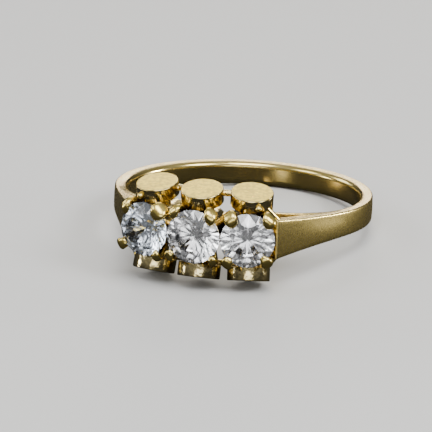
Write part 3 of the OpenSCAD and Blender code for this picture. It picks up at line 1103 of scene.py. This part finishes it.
def round_wire(path, radii):
    """A round section carried along a path."""
    rows = []
    for k, here in enumerate(path):
        along = heading(path, k)
        across = along.cross(Vector((0, 0, 1))).normalized()
        over = across.cross(along)
        ways = [360 * n / WIRE_STEPS for n in range(WIRE_STEPS)]
        rows.append([here + (across * cos(way) + over * sin(way)) * radii[k] for way in ways])
    return loft(rows)


start, stop = wire_ends()
wire_path = [start.lerp(stop, k / WIRE_SPANS) for k in range(WIRE_SPANS + 1)]
swellings = [1 + FOOT_SWELL * (1 - fade(k, 0, FOOT_SPANS)) for k in range(WIRE_SPANS + 1)]
wire_points, wire_faces = round_wire(wire_path, [WIRE_D / 2 * swelling for swelling in swellings])
print("corner wires, each", round((stop - start).length, 2), "mm long")

# %% Corner wires and beads
BEAD_R = 0.26
BEAD_TURN = 15
BEAD_OUT = 0.08  # beyond the disc's rim
BEAD_DOWN = 0.55  # below its face
BEAD_STEPS = 24

bead_profile = [(BEAD_R * sin(a), -BEAD_R * cos(a)) for a in range(0, 181, 15)]
bead_points, bead_faces = revolve(bead_profile, BEAD_STEPS)
on_rim = Matrix.Translation((DISC_R + BEAD_OUT, 0, -BEAD_DOWN))
for place in (1, -1):
    for end, end_label in ENDS.items():
        flip = Matrix.Diagonal((place, 1, end, 1))
        name = f"corner_wire_{end_label}_{PLACES[place]}"
        settle(finished(name, wire_points, wire_faces, [CLAW_GOLD], flip))
    bead_at = at_disc(place, 1) @ turned(-90 + place * BEAD_TURN, "Z") @ on_rim
    settle(finished(f"bead_{PLACES[place]}", bead_points, bead_faces, [CLAW_GOLD], bead_at))
print("beads, each", 2 * BEAD_R, "mm across")

# %% [markdown]
# ## The stones
# A stone is cut, so it is made by cutting: a round blank is sliced by one plane for each facet, and each
# slice is closed with a flat face. The girdle stays round where no plane reaches it, which leaves the
# scalloped edge of a real stone. The corners of all the facets could be listed instead, but a facet with
# more than three corners is flat only if every one of them is exact, and a cut is always flat.

# %% Planes of the facets
MAINS = 8
STEP = 360 / MAINS
STAR_IN = 0.56  # the stars end this far in from the girdle
STAR_R = STONE_R - STAR_IN
STAR_Z = GIRDLE_T / 2 + CROWN_H * (STONE_R - STAR_R * cos(STEP / 2)) / (STONE_R - TABLE_R)
HALF_OUT = 0.24  # the lower halves end this far from the stone's middle
HALF_Z = -GIRDLE_T / 2 - PAVILION_H * (1 - HALF_OUT * cos(STEP / 2) / STONE_R)
TABLE_Z = GIRDLE_T / 2 + CROWN_H


def around(r, turn, z):
    return Vector((r * cos(turn), r * sin(turn), z))


def facet_planes():
    """Three points of each facet, from the table down to the point."""
    planes = [[around(TABLE_R, turn, TABLE_Z) for turn in (0, 120, 240)]]
    culet = Vector((0, 0, -GIRDLE_T / 2 - PAVILION_H))
    for i in range(MAINS):
        here, half_on, on = i * STEP, (i + 0.5) * STEP, (i + 1) * STEP
        star, half = around(STAR_R, half_on, STAR_Z), around(HALF_OUT, half_on, HALF_Z)
        upper = [around(STONE_R, turn, GIRDLE_T / 2) for turn in (here, half_on, on)]
        lower = [around(STONE_R, turn, -GIRDLE_T / 2) for turn in (here, half_on, on)]
        planes += [
            (around(TABLE_R, here, TABLE_Z), around(TABLE_R, on, TABLE_Z), star),
            (around(TABLE_R, on, TABLE_Z), upper[2], star),
            (star, upper[0], upper[1]),
            (star, upper[1], upper[2]),
            (half, lower[0], lower[1]),
            (half, lower[1], lower[2]),
            (culet, half, lower[2]),
        ]
    return planes


print("planes", len(facet_planes()))

# %% Stones
BLANK_STEPS = 128
BLANK_H = 2 * (PAVILION_H + 1)
NEAR = 1e-5  # a point this near to a plane lies in it


def cut_stone(name, finish, frame_of):
    """A round blank sliced by the facet planes."""
    cut = bmesh.new()
    bmesh.ops.create_cone(
        cut, cap_ends=True, segments=BLANK_STEPS, radius1=STONE_R, radius2=STONE_R, depth=BLANK_H
    )
    for a, b, c in facet_planes():
        normal = (b - a).cross(c - a).normalized()
        if normal.dot(a) < 0:
            normal = -normal
        whole = cut.verts[:] + cut.edges[:] + cut.faces[:]
        sliced = bmesh.ops.bisect_plane(
            cut, geom=whole, dist=NEAR, plane_co=a, plane_no=normal, clear_outer=True
        )
        rim = [e for e in sliced["geom_cut"] if isinstance(e, bmesh.types.BMEdge) and e.is_boundary]
        if rim:
            bmesh.ops.contextual_create(cut, geom=rim)
    cut.verts.index_update()
    points = [v.co.copy() for v in cut.verts]
    faces = [tuple(v.index for v in f.verts) for f in cut.faces]
    cut.free()
    stone = finished(name, points, faces, [finish], frame_of)
    stone.data.shade_flat()
    return stone


for place, label in PLACES.items():
    finish = BLUISH_STONE if place < 0 else CLEAR_STONE
    frame_of = at_stone(place) @ Matrix.Translation((0, 0, GIRDLE_Y))
    stone = cut_stone(f"cut_stone_{label}", finish, frame_of)
    settle(stone, [f"stone_{label}"])
    print(stone.name, "has", len(stone.data.polygons), "faces")

# %% [markdown]
# ## Floor and light
# A plain pale floor and soft light. Polished metal shows what surrounds it, and in a wholly pale room
# the small discs and claws would have no dark edges. So the floor is pale to the camera and dark to
# reflections, and the sky is dark below and light above. The boxes behind the ring light its upper faces,
# the boxes in front light the stones. Three small cards do the rest. One lies beside the ring and lights
# the outside of the band. Two stand inside the ring and leave soft glows on the inside of the band.
# A panorama of a real studio could light the ring too, but then no single reflection could be moved.

# %% Floor
FLOOR_HALF = 1.5
FLOOR_LOOK = {"Base Color": (0.62, 0.62, 0.61, 1), "Roughness": 0.6}
FLOOR_GREYS = {"Is Glossy Ray": 0.03, "Is Transmission Ray": 0.14}

floor_finish, floor_tree, floor_shader = new_material("pale_floor", FLOOR_LOOK)
rays = floor_tree.nodes.new("ShaderNodeLightPath")
seen = floor_shader.outputs["BSDF"]
for kind, grey in FLOOR_GREYS.items():
    shade = new_node(floor_tree, "BsdfDiffuse", {"Color": (grey, grey, grey, 1)}).outputs["BSDF"]
    either = new_node(floor_tree, "MixShader", {0: rays.outputs[kind], 1: seen, 2: shade})
    seen = either.outputs["Shader"]
give(floor_tree.nodes["Material Output"], {"Surface": seen})

floor_mesh = bpy.data.meshes.new("floor")
floor_corners = [(x * FLOOR_HALF, y * FLOOR_HALF, 0) for x, y in ((-1, -1), (1, -1), (1, 1), (-1, 1))]
floor_mesh.from_pydata(floor_corners, [], [(0, 1, 2, 3)])
floor_mesh.materials.append(floor_finish)
floor = new_object("floor", floor_mesh)
print("floor", 2 * FLOOR_HALF, "m wide")

# %% Sky
SKY = [  # height of the direction, from -1 straight down to 1 straight up, and its grey
    (-1.0, 0.015), (-0.1, 0.022), (0.12, 0.07), (0.34, 0.21), (0.8, 0.45), (1.0, 0.45),
]
world = bpy.data.worlds.new("studio")
bpy.context.scene.world = world
world.use_nodes = True
sky = world.node_tree
direction = sky.nodes.new("ShaderNodeTexCoord").outputs["Generated"]
height = new_node(sky, "SeparateXYZ", {"Vector": direction}).outputs["Z"]
share = new_node(sky, "MapRange", {"Value": height, "From Min": -1}).outputs["Result"]
ramp = new_node(sky, "ValToRGB", {"Fac": share})
give(sky.nodes["Background"], {"Color": ramp.outputs["Color"]})
stops = ramp.color_ramp.elements
while len(stops) < len(SKY):
    stops.new(0.5)
for ramp_stop, (z, grey) in zip(stops, SKY):
    ramp_stop.position = (z + 1) / 2
    ramp_stop.color = (grey, grey, grey, 1)
print("sky", len(stops), "stops")

# %% Where the lights stand
HEAD = (0, -0.008, 0.004)
WHITE = (1, 1, 1)
WARM_WHITE = (1.0, 0.96, 0.88)
BOXES = [  # name, azimuth, elevation, distance, width, height, power, tint
    ("back_box", -165, 32, 0.5, 0.24, 0.12, 0.40, (1.0, 0.94, 0.82)),
    ("back_low_box", -168, 10, 0.5, 0.26, 0.06, 0.4, (1.0, 0.93, 0.84)),
    ("top_box", 10, 66, 0.36, 0.2, 0.2, 0.75, WHITE),
    ("over_camera_box", 17, 60, 0.4, 0.2, 0.1, 0.4, WHITE),
    ("front_box", 17, 18, 0.4, 0.3, 0.08, 0.27, WHITE),
    ("right_high_box", 75, 40, 0.4, 0.16, 0.12, 1.0, WHITE),
    ("left_low_box", -75, 6, 0.4, 0.06, 0.06, 0.22, WHITE),
    ("left_high_box", -60, 35, 0.4, 0.16, 0.12, 0.35, WHITE),
    ("left_side_box", -110, 20, 0.4, 0.16, 0.12, 0.3, WHITE),
    ("band_box", 119, 3, 0.2, 0.03, 0.015, 0.22, WARM_WHITE),
]
CARDS = [  # name, place, the point it faces, width, height, power, tint
    ("side_card", (0.0195, 0.0010, 0.0004), (0.0195, 0.0010, 1), 0.004, 0.004, 0.00009, WARM_WHITE),
    ("inner_left_card", (-0.0042, -0.0010, 0.0004), (0.0006, 0.0108, 0.0012), 0.0014, 0.0007, 0.000015,
     (1.0, 0.93, 0.78)),
    ("inner_back_card", (-0.0009, 0.0089, 0.0003), (0.0057, 0.0088, 0.0016), 0.0008, 0.0008, 0.000005,
     (1.0, 0.80, 0.50)),
]
print("soft boxes", len(BOXES), "and cards", len(CARDS))

# %% Lights


def around_head(azimuth, elevation, distance):
    """A place round the stones. Azimuth 0 is in front of them and 90 to their right."""
    flat = distance * cos(elevation)
    return (HEAD[0] + flat * sin(azimuth), HEAD[1] - flat * cos(azimuth), HEAD[2] + distance * sin(elevation))


def soft_box(name, place, aim, width, height, power, tint):
    """A rectangular soft light in metres, turned towards a point."""
    data = bpy.data.lights.new(name, "AREA")
    data.shape = "RECTANGLE"
    data.size, data.size_y = width, height
    data.energy = power
    data.color = tint
    light = new_object(name, data)
    light.location = place
    light.rotation_euler = (Vector(aim) - Vector(place)).to_track_quat("-Z", "Y").to_euler()
    light.visible_camera = False


for name, azimuth, elevation, distance, *face in BOXES:
    soft_box(name, around_head(azimuth, elevation, distance), HEAD, *face)
for card in CARDS:
    soft_box(*card)
print("lights", len(bpy.data.lights))

# %% Bring the scene up to date
bpy.context.view_layer.update()
